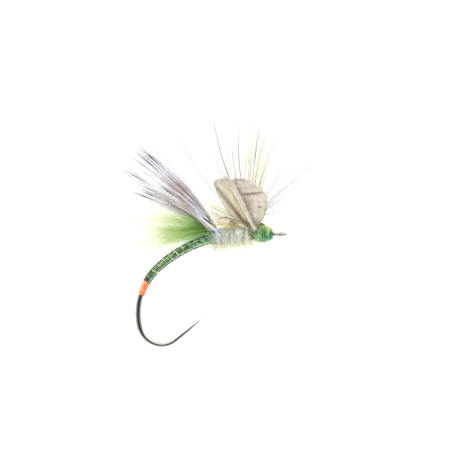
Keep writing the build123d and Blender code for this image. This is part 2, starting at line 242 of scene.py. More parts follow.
# ---------------------------------------------------------------- looks
def paint(red, green, blue):
    """A colour as it looks on a screen, 0 to 255, turned into light."""
    parts = (red / 255, green / 255, blue / 255)
    return tuple(part / 12.92 if part < 0.0404 else ((part + 0.055) / 1.055) ** 2.4 for part in parts)


BLACK, WHITE = paint(0, 0, 0), paint(255, 255, 255)


class Look:
    """A material, built node by node."""

    def __init__(self, name, **inputs):
        self.material = bpy.data.materials.new(name)
        self.material.use_nodes = True
        self.tree = self.material.node_tree
        self.bsdf = self.tree.nodes["Principled BSDF"]
        self.output = self.tree.nodes["Material Output"]
        for key, value in inputs.items():
            self.bsdf.inputs[key].default_value = value

    def node(self, kind, **settings):
        made = self.tree.nodes.new(kind)
        for key, value in settings.items():
            setattr(made, key, value)
        return made

    def put(self, value, socket):
        """Feeds a socket with a number, a colour or another node's output."""
        if isinstance(value, (int, float)):
            socket.default_value = value
        elif isinstance(value, tuple):
            socket.default_value = (*value, 1)
        else:
            self.tree.links.new(value, socket)

    def attribute(self, name):
        return self.node("ShaderNodeAttribute", attribute_name=name).outputs["Fac"]

    def noise(self, scale, detail, stretch=(1, 1, 1), turn=0):
        """Noise of so many features per millimetre along each axis, the axes turned about Y."""
        mapping = self.node("ShaderNodeMapping", vector_type="TEXTURE")
        mapping.inputs["Rotation"].default_value = (0, math.radians(turn), 0)
        mapping.inputs["Scale"].default_value = [MM / (scale * part) for part in stretch]
        self.put(self.node("ShaderNodeTexCoord").outputs["Object"], mapping.inputs["Vector"])
        texture = self.node("ShaderNodeTexNoise")
        texture.inputs["Scale"].default_value = 1.0
        texture.inputs["Detail"].default_value = detail
        self.put(mapping.outputs["Vector"], texture.inputs["Vector"])
        return texture.outputs["Fac"]

    def rise(self, vector, axis, low, high):
        """0 to 1 as a vector's part along an axis goes from low to high."""
        parts = self.node("ShaderNodeSeparateXYZ")
        self.put(vector, parts.inputs[0])
        made = self.node("ShaderNodeMapRange")
        made.inputs["From Min"].default_value = low
        made.inputs["From Max"].default_value = high
        self.put(parts.outputs[axis], made.inputs["Value"])
        return made.outputs[0]

    def between(self, axis, low, high):
        """0 to 1 as the place on the fly goes from low to high along an axis, in millimetres."""
        return self.rise(self.node("ShaderNodeTexCoord").outputs["Object"], axis, low * MM, high * MM)

    def facing(self, axis, low, high):
        """0 to 1 as the surface's normal goes from low to high along an axis."""
        return self.rise(self.node("ShaderNodeNewGeometry").outputs["Normal"], axis, low, high)

    def ramp(self, factor, *stops):
        """A colour ramp; each stop is its position and its colour."""
        made = self.node("ShaderNodeValToRGB")
        elements = made.color_ramp.elements
        while len(elements) < len(stops):
            elements.new(0.5)
        for element, (position, colour) in zip(elements, stops):
            element.position = position
            element.color = (*colour, 1)
        self.put(factor, made.inputs["Fac"])
        return made.outputs["Color"]

    def tones(self, factor, *stops):
        """A colour ramp; each stop is its position and its red, green and blue on a screen."""
        return self.ramp(factor, *((position, paint(*colour)) for position, *colour in stops))

    def mask(self, factor, low, high):
        """0 up to low and 1 from high on."""
        return self.ramp(factor, (low, BLACK), (high, WHITE))

    def math(self, operation, first, second):
        made = self.node("ShaderNodeMath", operation=operation)
        self.put(first, made.inputs[0])
        self.put(second, made.inputs[1])
        return made.outputs[0]

    def times(self, first, *others):
        for other in others:
            first = self.math("MULTIPLY", first, other)
        return first

    def plus(self, first, second):
        return self.math("ADD", first, second)

    def mix(self, factor, first, second, blend="MIX"):
        """A mix of two colours, each a socket or a colour."""
        made = self.node("ShaderNodeMix", data_type="RGBA", blend_type=blend)
        self.put(factor, made.inputs[0])
        self.put(first, made.inputs[6])
        self.put(second, made.inputs[7])
        return made.outputs[2]

    def layer(self, share, under, over):
        """One surface over another, by a share."""
        made = self.node("ShaderNodeMixShader")
        for value, socket in zip((share, under, over), made.inputs):
            self.put(value, socket)
        return made.outputs[0]

    def colour(self, source):
        self.put(source, self.bsdf.inputs["Base Color"])

    def glow(self, strength):
        """A painted glow: a little white light of its own, standing in for the light that fine down scatters
        all through itself.
        """
        self.bsdf.inputs["Emission Color"].default_value = (1, 1, 1, 1)
        self.bsdf.inputs["Emission Strength"].default_value = strength

    def bump(self, height, strength, distance):
        """Bumps of a height in millimetres."""
        made = self.node("ShaderNodeBump")
        made.inputs["Strength"].default_value = strength
        made.inputs["Distance"].default_value = distance * MM
        self.put(height, made.inputs["Height"])
        self.put(made.outputs["Normal"], self.bsdf.inputs["Normal"])

    def thin(self, colour, through, clear=None):
        """Lets light through a thin strand: a share passes as soft glow and a share goes straight on."""
        self.colour(colour)
        soft = self.node("ShaderNodeBsdfTranslucent")
        self.put(colour, soft.inputs["Color"])
        surface = self.layer(through, self.bsdf.outputs[0], soft.outputs[0])
        if clear is not None:
            surface = self.layer(clear, surface, self.node("ShaderNodeBsdfTransparent").outputs[0])
        self.put(surface, self.output.inputs["Surface"])


def wire_look():
    """Black nickel wire: near black where it faces the viewer, with a painted reflection that makes it pale
    where it turns away, a painted highlight along its upper side and a painted sheen on the eye ring.
    """
    look = Look("wire_look", Roughness=0.14, IOR=1.45)
    away = look.node("ShaderNodeLayerWeight").outputs["Facing"]
    # Painted reflection: pale where the wire turns away from the viewer.
    painted_edge_reflection = look.tones(
        look.plus(away, look.times(look.noise(0.8, 3), 0.1)),
        (0.1, 16, 13, 10),
        (0.17, 84, 80, 74),
        (0.28, 140, 137, 131),
        (0.7, 156, 153, 147),
    )
    skylight = look.times(look.facing(Z, 0.2, 0.4), look.facing(Z, 0.86, 0.7), 0.85)
    lit = look.mix(skylight, painted_edge_reflection, paint(232, 230, 224))
    # Painted sheen: the eye ring is made paler.
    painted_eye_sheen = look.times(look.between(X, -0.2, 0.3), 0.6)
    look.colour(look.mix(painted_eye_sheen, lit, paint(170, 168, 164)))
    look.bump(look.noise(9, 2), 0.15, 0.01)
    return look.material


# Dark and pale tones of the thread: in the open, and darkened with painted shade under the foam and in the
# valleys of the fur.
OPEN_GREEN = ((0.012, 0.06, 0.018), (0.22, 0.46, 0.12))
SHADED_GREEN = ((0.006, 0.02, 0.008), (0.05, 0.16, 0.05))
VALLEY_SHADE_GREEN = ((0.008, 0.035, 0.01), (0.06, 0.16, 0.05))


def thread_look(name, dark, pale):
    """Waxed thread: lengths of shade along each strand over fine twist."""
    look = Look(name, Roughness=0.42)
    shade = look.plus(look.times(look.attribute("seed"), 0.4), look.noise(1.6, 3))
    middle = tuple(math.sqrt(low * high) for low, high in zip(dark, pale))
    look.colour(look.ramp(shade, (0.5, dark), (0.72, middle), (1.0, pale)))
    twist(look)
    return look.material


def twist(look):
    look.bump(look.noise(14, 2, stretch=(1, 4, 4)), 0.4, 0.02)


def clear_look(name, tint, ripple):
    """A clear shell: see-through, with a mirror-like skin that strengthens towards its edges."""
    look = Look(name)
    skin = look.node("ShaderNodeBsdfGlossy")
    skin.inputs["Roughness"].default_value = 0.06
    look.put((0.95, 1.0, 0.95), skin.inputs["Color"])
    inside = look.node("ShaderNodeBsdfTransparent")
    look.put(tint, inside.inputs["Color"])
    edge = look.node("ShaderNodeFresnel")
    edge.inputs["IOR"].default_value = 1.52
    bump = look.node("ShaderNodeBump")
    bump.inputs["Strength"].default_value = 0.5
    bump.inputs["Distance"].default_value = ripple * MM
    look.put(look.noise(1.3, 2), bump.inputs["Height"])
    look.put(bump.outputs["Normal"], skin.inputs["Normal"])
    look.put(bump.outputs["Normal"], edge.inputs["Normal"])
    shell = look.layer(edge.outputs[0], inside.outputs[0], skin.outputs[0])
    look.put(shell, look.output.inputs["Surface"])
    return look.material


def dress(node, look):
    """Gives a CAD node its look and its material slot, and shades it smoothly."""
    shown = frame["nodes"][node]
    shown.data.materials.clear()
    shown.data.materials.append(look)
    shown.data.shade_smooth()


# ---------------------------------------------------------------- hook, body and thread
def build_hook():
    dress("hook", wire_look())
    dress("shank_thread_base", thread_look("base_thread_look", *OPEN_GREEN))


def wound(name, node, distances, radii, turns, thickness, look, seed, drop=0.0):
    """Two layers of thread round the wire: a strand for each turn, over a body of a changing radius."""
    rng = np.random.default_rng(seed)
    pitch = (distances[-1] - distances[0]) / turns
    share = shares(26)
    paths = []
    for layer in range(2):
        for turn in range(turns):
            slant = rng.uniform(-0.6, 1.6) if layer else 1.0
            along = distances[0] + pitch * (turn + 0.5 + (share - 0.5) * slant)
            along = np.clip(along, distances[0], distances[-1])
            turned = math.tau * share + rng.uniform(0, math.tau)
            radius = np.interp(along, distances, radii) + layer * thickness * 0.8
            paths.append(round_wire(along, turned, radius, drop))
    made = strands(name, np.array(paths), (thickness, thickness), look, sides=6, seed=seed)
    fit(made, node)


def head_look():
    """Green thread in blotches, with a lime painted highlight where the light catches its top and a near
    black painted shadow under the foam.
    """
    look = Look("head_thread_look", Roughness=0.4)
    shade = look.plus(look.times(look.attribute("seed"), 0.3), look.noise(1.3, 3))
    green = look.tones(shade, (0.45, 34, 98, 56), (0.65, 84, 152, 88), (0.85, 168, 212, 150))
    blotch = look.mask(look.noise(0.9, 2), 0.5, 0.62)
    green = look.mix(look.times(blotch, 0.55), green, paint(124, 136, 62))
    lit = look.times(look.between(Z, 0.2, 0.75), look.between(X, -1.9, -1.45), 0.8)
    green = look.mix(lit, green, paint(218, 224, 130))
    # Painted shadow: near black where the foam hangs over the head.
    painted_foam_shadow = look.times(look.between(X, -2.55, -2.9), look.between(Z, 0.0, 0.35), 0.9)
    look.colour(look.mix(painted_foam_shadow, green, paint(18, 34, 20)))
    twist(look)
    return look.material


def build_head():
    """The head, blunt in front, with its whip finish, the tie-in behind it darkened with painted shade, and
    its varnish.
    """
    low, high = box("head_thread")
    widest = 0.84 * (high[Z] - low[Z]) / 2
    rows = 15
    along = wire_span("head_thread", rows)
    profile = np.interp(shares(rows), [0, 0.1, 0.34, 0.6, 0.85, 1], [0.78, 0.93, 1.0, 0.93, 0.77, 0.64])
    radii = widest * profile
    look = head_look()
    wound("head_windings", "head_thread", along, radii, 17, 0.07, look, 5)
    fit(lathe("whip_core", wire_span("whip_finish", 6), np.linspace(0.44, 0.73, 6), look))
    fit(lathe("head_core", along, radii, look))
    wound("whip_windings", "whip_finish", wire_span("whip_finish", 2), (0.46, 0.75), 7, 0.06, look, 6)
    # Painted shade: the tie-in thread is darkened where the foam covers it.
    dark = thread_look("tie_thread_look", *SHADED_GREEN)
    tie_span = wire_span("foam_tie_thread", 2)
    wound("tie_windings", "foam_tie_thread", tie_span, (0.62, 0.6), 8, 0.06, dark, 7)
    gloss = clear_look("varnish_look", (0.93, 1.0, 0.9), 0.05)
    fit(lathe("varnish_skin", along, radii + 0.1, gloss, sides=64), "head_varnish")


def build_abdomen():
    """The green floss with its rib, its clear coat and the orange butt."""
    floss = Look("floss_look", Roughness=0.35)
    streak = floss.noise(0.9, 4, stretch=(0.5, 3, 1.4), turn=30)
    tone = floss.tones(
        streak,
        (0.38, 28, 86, 20),
        (0.54, 56, 126, 36),
        (0.64, 100, 152, 54),
        (0.76, 168, 204, 92),
    )
    weave = floss.noise(2.6, 2, stretch=(0.14, 1, 1), turn=-12)
    pearl = floss.tones(weave, (0.44, 34, 104, 62), (0.52, 104, 176, 118), (0.58, 208, 240, 214))
    olive = floss.times(floss.between(X, -15.6, -14.4), floss.between(X, -12.0, -13.2), 0.45)
    tone = floss.mix(olive, tone, paint(150, 142, 52))
    glint = floss.mask(floss.noise(1.6, 2, stretch=(1, 1, 1.6), turn=45), 0.64, 0.7)
    tone = floss.mix(glint, tone, paint(236, 250, 190))
    # A painted highlight: a lime band, broken along its length, lies on the shoulder of the curve.
    breaks = floss.noise(1.4, 2, stretch=(0.4, 1, 1), turn=-45)
    shoulder_highlight = floss.times(
        floss.facing(Z, -0.14, 0.06),
        floss.facing(Z, 0.52, 0.4),
        floss.between(X, -14.5, -13.9),
        floss.between(X, -11.7, -12.3),
        floss.ramp(breaks, (0.42, (0.45, 0.45, 0.45)), (0.52, WHITE)),
    )
    tone = floss.mix(shoulder_highlight, tone, paint(226, 240, 150))
    floss.colour(floss.mix(floss.between(X, -11.6, -10.2), tone, pearl))
    floss.bump(floss.noise(8, 2, stretch=(1, 3, 1)), 0.4, 0.03)
    dress("abdomen_floss", floss.material)

    rib = Look("rib_look", Roughness=0.22)
    shine = rib.noise(1.8, 2)
    rib.colour(rib.tones(shine, (0.38, 74, 156, 62), (0.48, 150, 214, 112), (0.6, 232, 255, 200)))
    dress("rib_wire", rib.material)
    dress("abdomen_coat", clear_look("coat_look", (0.94, 1.0, 0.93), 0.08))

    butt = Look("butt_look", Roughness=0.5)
    shade = butt.noise(2.2, 3, stretch=(1, 1, 2), turn=60)
    orange = butt.tones(shade, (0.38, 206, 100, 52), (0.62, 234, 140, 86))
    lit = butt.times(butt.facing(X, -0.15, -0.8), 0.75)
    butt.colour(butt.mix(lit, orange, paint(255, 204, 168)))
    butt.bump(butt.noise(10, 2, stretch=(3, 1, 1), turn=-25), 0.4, 0.03)
    dress("orange_butt", butt.material)


# ---------------------------------------------------------------- thorax
# Where the fur starts and stops along the wire, and the lumps that its thread turns part it into.
FUR_START, FUR_STOP = 2.72, 7.05
FUR_LENGTH = FUR_STOP - FUR_START
LUMPS = 5


def swell(share):
    """How far the fur swells between its valleys, 0 to 1."""
    return np.sqrt(np.abs(np.sin(np.pi * LUMPS * share)))


def build_thorax():
    """Loose spun fur: a lumpy core, green turns in its valleys and many fine hairs."""
    rng = np.random.default_rng(21)
    rows, sides = 60, 40
    share = shares(rows)
    ends = np.clip(3 * np.sin(np.pi * np.clip(share, 0.02, 0.98)), 0.3, 1)
    radii = (0.6 + 0.24 * swell(share)) * ends
    look = Look("fur_core_look", Roughness=0.7)
    tone = look.tones(
        look.noise(1.0, 4),
        (0.34, 150, 168, 150),
        (0.42, 222, 230, 226),
        (0.54, 222, 234, 252),
        (0.66, 252, 252, 246),
    )
    look.colour(tone)
    look.bump(look.noise(7, 4), 0.8, 0.08)
    relief = rng.normal(0, 0.025, (rows, sides))
    along = FUR_START + share * FUR_LENGTH
    core = lathe("fur_core", along, radii, look.material, sides, drop=0.08, relief=relief)
    fit(core, "thorax_dubbing")
    build_fur(rng)
    build_sparkle(rng)

    turned = np.linspace(0, math.tau, 40)
    paths = []
    for lump in range(1, LUMPS):
        slant = 0.16 * np.cos(turned + lump * 1.7) + rng.normal(0, 0.12)
        centre, _ = wire_at(FUR_START + FUR_LENGTH * lump / LUMPS + slant)
        wobble = 0.86 + 0.05 * np.sin(turned * 3 + lump)
        path = centre + xyz(0.0, wobble * np.cos(turned), wobble * np.sin(turned))
        path[:, Z] -= 0.1
        paths.append(path)
    # Painted shade: the turns are darkened in the fur's valleys.
    thread = thread_look("valley_thread_look", *VALLEY_SHADE_GREEN)
    turns = strands("valley_turns", np.array(paths), (0.05, 0.05), thread, sides=6, seed=8)
    fit(turns, "thorax_thread_turns")


def build_fur(rng):
    """Hairs that wrap, loop and hang from the thorax, longest below."""
    each = (1500, 1)
    share = shares(8)
    along = rng.uniform(FUR_START + 0.25, FUR_STOP, each)
    centre, _ = wire_at(along)
    place = rng.uniform(-math.pi, math.pi, each)
    below = (1 - np.sin(place)) / 2
    wrap = rng.normal(0, 1.1, each)
    length = rng.uniform(0.5, 1.3, each)
    lift = rng.gamma(1.5, 0.17, each) * (0.8 + 2.0 * below**2)
    turned = place + wrap * share * length
    base = 0.68 + 0.17 * swell((along - FUR_START) / FUR_LENGTH) + rng.uniform(-0.05, 0.1, each)
    radius = base + lift * share**1.3
    drift = rng.normal(0, 0.95, each) * share * length
    height = radius * np.sin(turned) - 0.08 - 0.25 * share**2 * below
    paths = xyz(centre[..., X] + drift, radius * np.cos(turned), centre[..., Z] + height)
    front = 0.7 * (along < FUR_START + 1.2)
    olive_share = clamp(0.42 - 0.42 * np.sin(place) + front + rng.normal(0, 0.18, each))

    look = Look("fur_look", Roughness=0.3)
    look.glow(0.12)
    own = look.attribute("seed")
    sparkle = look.tones(
        own,
        (0.0, 196, 206, 210),
        (0.3, 226, 234, 250),
        (0.55, 242, 247, 255),
        (0.85, 255, 255, 255),
    )
    olive = look.tones(own, (0.0, 202, 198, 118), (0.5, 242, 238, 184), (1.0, 255, 253, 232))
    look.thin(look.mix(look.attribute("olive"), sparkle, olive), 0.6, 0.25)
    extra = {"olive": olive_share}
    fur = strands("fur_hairs", paths, (0.016, 0.006), look.material, sides=3, seed=22, extra=extra)
    fit(fur, "dubbing_hairs")


def build_sparkle(rng):
    """Thick white fibres that cross over the fur at odd angles."""
    each = (44, 1)
    share = shares(12)
    centre, _ = wire_at(rng.uniform(FUR_START + 0.4, FUR_STOP - 0.2, each))
    turned = rng.uniform(0, math.tau, each) + rng.uniform(0.8, 2.2, each) * share
    radius = 0.95 + 0.12 * np.sin(share * math.pi) + rng.uniform(-0.03, 0.12, each)
    drift = rng.normal(0, 0.9, each) * (share - 0.5)
    height = radius * np.sin(turned) - 0.1
    paths = xyz(centre[..., X] + drift, radius * np.cos(turned), centre[..., Z] + height)
    look = Look("sparkle_look", Roughness=0.2)
    look.glow(0.25)
    look.thin(look.tones(look.noise(2, 2), (0.4, 214, 224, 240), (0.6, 255, 255, 255)), 0.3)
    fit(strands("sparkle_hairs", paths, (0.034, 0.016), look.material, sides=4, seed=24))


def build_lashing():
    """Green thread over the roots of the wings and the tuft, with the quills' cut ends beside it."""
    look = thread_look("lashing_look", *OPEN_GREEN)
    span = wire_span("wing_lashing", 2)
    wound("lashing_windings", "wing_lashing", span, (0.72, 0.66), 7, 0.05, look, 9, drop=-0.12)
    roots = Look("roots_look", Roughness=0.5)
    grain = roots.noise(3, 3, stretch=(0.3, 1, 1))
    roots.colour(roots.tones(grain, (0.4, 120, 110, 80), (0.65, 200, 195, 170)))
    dress("trimmed_roots", roots.material)


def build_stub():
    """The trimmed quills of the hackle, brown and split at their cut ends."""
    low, high = box("hackle_stub")
    rng = np.random.default_rng(31)
    each = (20, 1)
    share = shares(6)
    x = rng.uniform(low[X] + 0.1, high[X] - 0.1, each)
    y = rng.uniform(-0.3, 0.2, each)
    lean = np.radians(rng.normal(5, 16, each))
    rise = rng.uniform(1.2, 1.9, each) * (high[Z] - low[Z]) * share
    paths = xyz(x + np.sin(lean) * rise, y * (1 + 0.3 * share), low[Z] - 0.2 + np.cos(lean) * rise)
    look = Look("quill_look", Roughness=0.5)
    look.colour(look.tones(look.noise(3.5, 3), (0.42, 50, 40, 8), (0.56, 100, 82, 20), (0.74, 188, 170, 76)))
    look.bump(look.noise(12, 2), 0.4, 0.03)
    made = strands("cut_quills", paths, (0.12, 0.09), look.material, sides=6, seed=32)
    fit(made, "hackle_stub")


# ---------------------------------------------------------------- foam
# The bend given to fit for the foam: from its foot straight up, over so many millimetres.
FOAM_BEND = (joint_point("foam_post_lean"), 90, 1.6)
PILLOW_SIDES = 96


def foam_look(name, grain_turn, grain_stretch, grain_share):
    """Warm grey foam with lengthwise grain; its attributes make it olive, paler with painted light, brown
    with painted shade and near black with painted shade in a pit.
    """
    look = Look(name, Roughness=0.85)
    grain = look.noise(4, 3, stretch=(grain_stretch, 1, 1), turn=grain_turn)
    tone = look.plus(look.times(grain, grain_share), look.times(look.noise(0.8, 3), 1 - grain_share))
    body = look.tones(tone, (0.36, 160, 148, 126), (0.5, 192, 183, 165), (0.64, 214, 207, 193))
    olive = look.times(look.mask(look.noise(0.9, 3), 0.42, 0.62), look.attribute("olive"))
    body = look.mix(olive, body, paint(196, 190, 140))
    # Painted light: paler where the pale attribute is set.
    body = look.mix(look.times(look.attribute("pale"), 0.7), body, paint(218, 206, 196))
    # Painted shade: brown where the shade attribute is set.
    body = look.mix(look.attribute("shade"), body, paint(104, 84, 58))
    # Painted shade: near black in the pit.
    look.colour(look.mix(look.attribute("pit_shade"), body, paint(60, 48, 34)))
    look.bump(look.plus(look.times(grain, 0.5), look.times(look.noise(2.6, 5), 0.8)), 0.9, 0.2)
    return look.material


def softened(widths, reach):
    """Widths of rows with their corners rounded over a few rows, closed at both ends."""
    window = 2 * reach + 1
    widths = np.convolve(np.pad(widths, reach, mode="edge"), np.ones(window) / window, "valid")
    widths[[0, -1]] = 0
    return widths


def pillow_rows(left, right):
    """Points round each row of a pillow: offsets to its left, and places from its front (-1) to back."""
    turned = around(PILLOW_SIDES)
    across = np.cos(turned)
    across = np.sign(across) * np.abs(across) ** 0.85
    back = np.sin(turned)
    back = np.sign(back) * np.abs(back) ** 0.6
    return across * np.where(across > 0, left[:, None], right[:, None]), back


def pillow(name, node, spine, sideways, offset, y, look, masks, shear=0.0):
    """A soft closed body along a spine in the XZ plane, its offsets heading sideways.

    shear slides a row's left side up the spine and its right side down.
    """
    slide = offset * shear
    x = spine[:, 0, None] + sideways[0] * offset + sideways[1] * slide
    z = spine[:, 1, None] + sideways[1] * offset - sideways[0] * slide
    points = xyz(x, y, z)
    made = mesh_object(name, points, tube_faces(1, len(spine), PILLOW_SIDES), look, masks)
    fit(made, node, "foam_post", FOAM_BEND)
    return points


def fuzz(name, points, rng, count, length, look, weight, lean):
    """Short leaning hairs on a pillow's skin. weight is how many of them each row carries."""
    steps, sides, _ = points.shape
    row = rng.choice(steps - 2, size=count, p=weight[1:-1] / weight[1:-1].sum()) + 1
    column = rng.integers(0, sides, count)
    here = points[row, column]
    lengthwise = points[row + 1, column] - points[row - 1, column]
    crosswise = points[row, (column + 1) % sides] - points[row, column - 1]
    normal = unit(np.cross(crosswise, lengthwise))
    outward = here - points[row].mean(axis=1)
    normal *= np.sign(np.sum(normal * outward, axis=-1, keepdims=True))
    way = unit(normal + rng.normal(0, 0.55, (count, 3)) + lean)
    bend = rng.normal(0, 0.3, (count, 3))
    share = shares(4)[:, None]
    size = length * rng.uniform(0.4, 1.2, (count, 1, 1))
    paths = here[:, None] + size * (way[:, None] * share + bend[:, None] * share**2 * 0.5)
    made = strands(name, paths, (0.012, 0.0048), look, sides=3, seed=41)
    fit(made, None, "foam_post", FOAM_BEND)


def build_foam():
    """The flap, the lobe in front of it, their fuzz, and the thread and quill round their neck."""
    rng = np.random.default_rng(40)
    look = Look("foam_hair_look", Roughness=0.6)
    look.thin(look.tones(look.attribute("seed"), (0, 240, 235, 222), (1, 255, 255, 255)), 0.3)
    build_flap(rng, look.material)
    build_lobe(rng, look.material)
    # Painted shade: the neck's thread is darkened under the foam.
    dress("neck_thread_wraps", thread_look("neck_thread_look", *SHADED_GREEN))
    dress("hackle_stem", thread_look("stem_look", paint(80, 62, 25), paint(170, 150, 90)))


def build_flap(rng, hair_look):
    """The leaf that leans back; its widths are measured square to a straight spine."""
    steps = 90
    share = shares(steps)
    foot = np.array([-3.2, 0.9])
    heading = np.array([-0.518, 0.855])
    sideways = np.array([-0.855, -0.518])
    length = 6.15
    start = -0.085
    along = start + (1 - start) * eased(share)
    spine = foot + along[:, None] * length * heading
    left = np.interp(
        along,
        [-0.1, 0, 0.18, 0.39, 0.6, 0.81, 0.94, 0.985, 1],
        [0.28, 0.34, 0.95, 1.42, 1.5, 1.36, 1.16, 0.95, 0],
    )
    right = np.interp(
        along,
        [-0.1, 0.05, 0.23, 0.45, 0.65, 0.83, 0.93, 0.985, 1],
        [0.3, 0.34, 0.51, 0.7, 0.74, 0.78, 0.66, 0.45, 0],
    )
    offset, back = pillow_rows(softened(left, 2), softened(right, 2))
    depth = 0.62 * clamp(3 * np.sin(np.pi * (0.98 * share + 0.02))) ** 0.5
    depth *= np.interp(along, [-0.1, 0.1, 0.5, 1], [0.45, 0.6, 0.95, 0.8])
    middle = np.interp(along, [-0.1, 0.2, 0.6, 1], [-0.5, -0.46, -0.5, -0.45])
    shear = np.interp(along, [0.6, 0.97], [0, 0.32])[:, None]

    # Two lines run up the leaf: a wide valley, and a groove beside a raised strip. Painted shade darkens the
    # valley, the groove and the base, and painted light makes the strip pale.
    along = along[:, None]
    valley_line = 0.5 + 0.75 * np.maximum(along, 0) ** 1.15
    strip_line = 0.12 - 0.35 * along
    fade = clamp(1.2 - along)
    push = 0.5 * soft_bump(offset, valley_line, 0.16) * fade
    push += 0.22 * soft_bump(offset, strip_line, 0.09) * clamp(1.1 - along * 0.8)
    push -= 0.2 * (offset < strip_line - 0.05) * fade
    valley = soft_bump(offset, valley_line - 0.1, 0.24) * clamp(1.35 - along * 1.1)
    groove = soft_bump(offset, strip_line + 0.02, 0.07) * clamp(0.9 - along * 0.8)
    base = 2 * clamp(0.22 - along) * (offset > strip_line)
    masks = {
        "shade": clamp(valley + 0.7 * groove + base),
        "pale": 0.8 * clamp((strip_line - offset) * 12) * clamp(1.3 - along),
        "olive": clamp(1 - np.abs(offset - 0.25) / 0.5) * fade,
    }
    y = middle[:, None] + back * depth[:, None] * (1 - push)
    look = foam_look("flap_look", 58.8, 0.14, 0.7)
    points = pillow("flap_foam", "foam_flap", spine, sideways, offset, y, look, masks, shear)
    weight = (0.3 + share**3) * (share < 0.95)
    fuzz("flap_fuzz", points, rng, 2200, 0.3, hair_look, weight, (-0.3, 0, 0.5))


def build_lobe(rng, hair_look):
    """The fold in front of the flap: it bulges forward, is creased near its top and has a small pit."""
    steps = 90
    share = shares(steps)
    level = eased(share)
    # Heights with the X of the rear and the front edge there.
    heights = [0.8, 1.2, 1.7, 2.3, 2.9, 3.5, 4.1, 4.6, 5.0, 5.4, 5.8, 6.02]
    rear_edge = [-2.95, -3.1, -3.35, -3.65, -3.9, -4.15, -4.4, -4.65, -4.9, -5.1, -5.2, -5.0]
    front_edge = [-2.6, -2.28, -1.92, -1.68, -1.54, -1.5, -1.6, -1.86, -2.25, -2.85, -3.7, -4.5]
    height = heights[0] + (heights[-1] - heights[0]) * level
    rear = np.interp(height, heights, rear_edge)
    front = np.interp(height, heights, front_edge)
    width = softened((front - rear) / 2, 3)
    spine = np.stack([(rear + front) / 2, height], axis=-1)
    offset, back = pillow_rows(width, width)
    depth = 0.85 * clamp(2.6 * np.sin(np.pi * (0.97 * level + 0.03))) ** 0.5
    depth *= np.interp(level, [0, 0.3, 0.7, 1], [0.5, 0.9, 1, 0.75])
    middle = np.interp(level, [0, 0.5, 1], [0.05, 0.12, 0.15])

    near = clamp(-back)
    x = spine[:, 0, None] - offset
    z = height[:, None]
    crease_z = 4.5
    crease = soft_bump(z, crease_z + 0.1 * (x + 3.1), 0.07)
    pit = soft_bump(np.hypot(x + 2.4, (z - 3.03) * 1.8), 0, 0.16)
    wrinkles = 0.11 * np.sin(7 * x + 3 * np.sin(2.3 * z)) * np.sin(3.1 * z)
    push = near * (0.2 * crease + 0.12 * clamp((z - crease_z) * 3) + 0.25 * pit + wrinkles)
    # Painted shade darkens the crease, the part near the foot, the flap strip's shadow and the edges;
    # painted light makes the fold above the crease pale.
    aside = offset / width.max()
    edge = 3 * clamp(np.abs(aside) - 0.86)
    strip_shadow = 0.75 * clamp(aside - 0.1) * clamp(4.6 - z)
    shade = clamp(0.95 * crease + 0.8 * clamp((1.9 - z) * 0.9) + strip_shadow + 0.5 * edge)
    masks = {
        "shade": shade * (0.3 + 0.7 * near),
        "pale": 0.75 * clamp((z - crease_z) * 4),
        # Painted shade: near black in the pit.
        "pit_shade": pit * near,
    }
    y = middle[:, None] + back * depth[:, None] * (1 - push)
    look = foam_look("lobe_look", 70, 0.5, 0.4)
    points = pillow("lobe_foam", "foam_lobe", spine, (-1.0, 0.0), offset, y, look, masks)
    weight = (0.2 + 3 * clamp(share - 0.55)) * (share < 0.95)
    fuzz("lobe_fuzz", points, rng, 2400, 0.32, hair_look, weight, (0.1, 0, 0.5))


# ---------------------------------------------------------------- hackle
# The tones of barbs, as places on the hackle's colour ramp.
YELLOW, OLIVE, DARK, GREY, AMBER = 0.0, 0.3, 0.55, 0.78, 1.0
COLLAR = joint_point("hackle_sweep")
# The bend given to fit for the near barbs, rooted in the thorax.
NEAR_BARB_BEND = (np.array([-6.0, 0.0, 0.0]), 180, 1.5)


def hackle_look():
    """Barbs in the tone that they are given, darker at the root and mottled."""
    look = Look("hackle_look", Roughness=0.35)
    tone = look.tones(
        look.attribute("tone"),
        (YELLOW, 248, 240, 112),
        (OLIVE, 168, 160, 90),
        (DARK, 70, 64, 48),
        (GREY, 196, 196, 190),
        (AMBER, 255, 242, 150),
    )
    root = (0.1, (0.72, 0.66, 0.46))
    darker_root = look.ramp(look.attribute("share"), root, (0.4, (0.95, 0.95, 0.9)), (0.8, WHITE))
    mottled = look.ramp(look.noise(0.8, 3), (0.4, (0.84, 0.82, 0.74)), (0.6, WHITE))
    look.thin(look.mix(1.0, look.mix(1.0, tone, darker_root, "MULTIPLY"), mottled, "MULTIPLY"), 0.45)
    return look.material


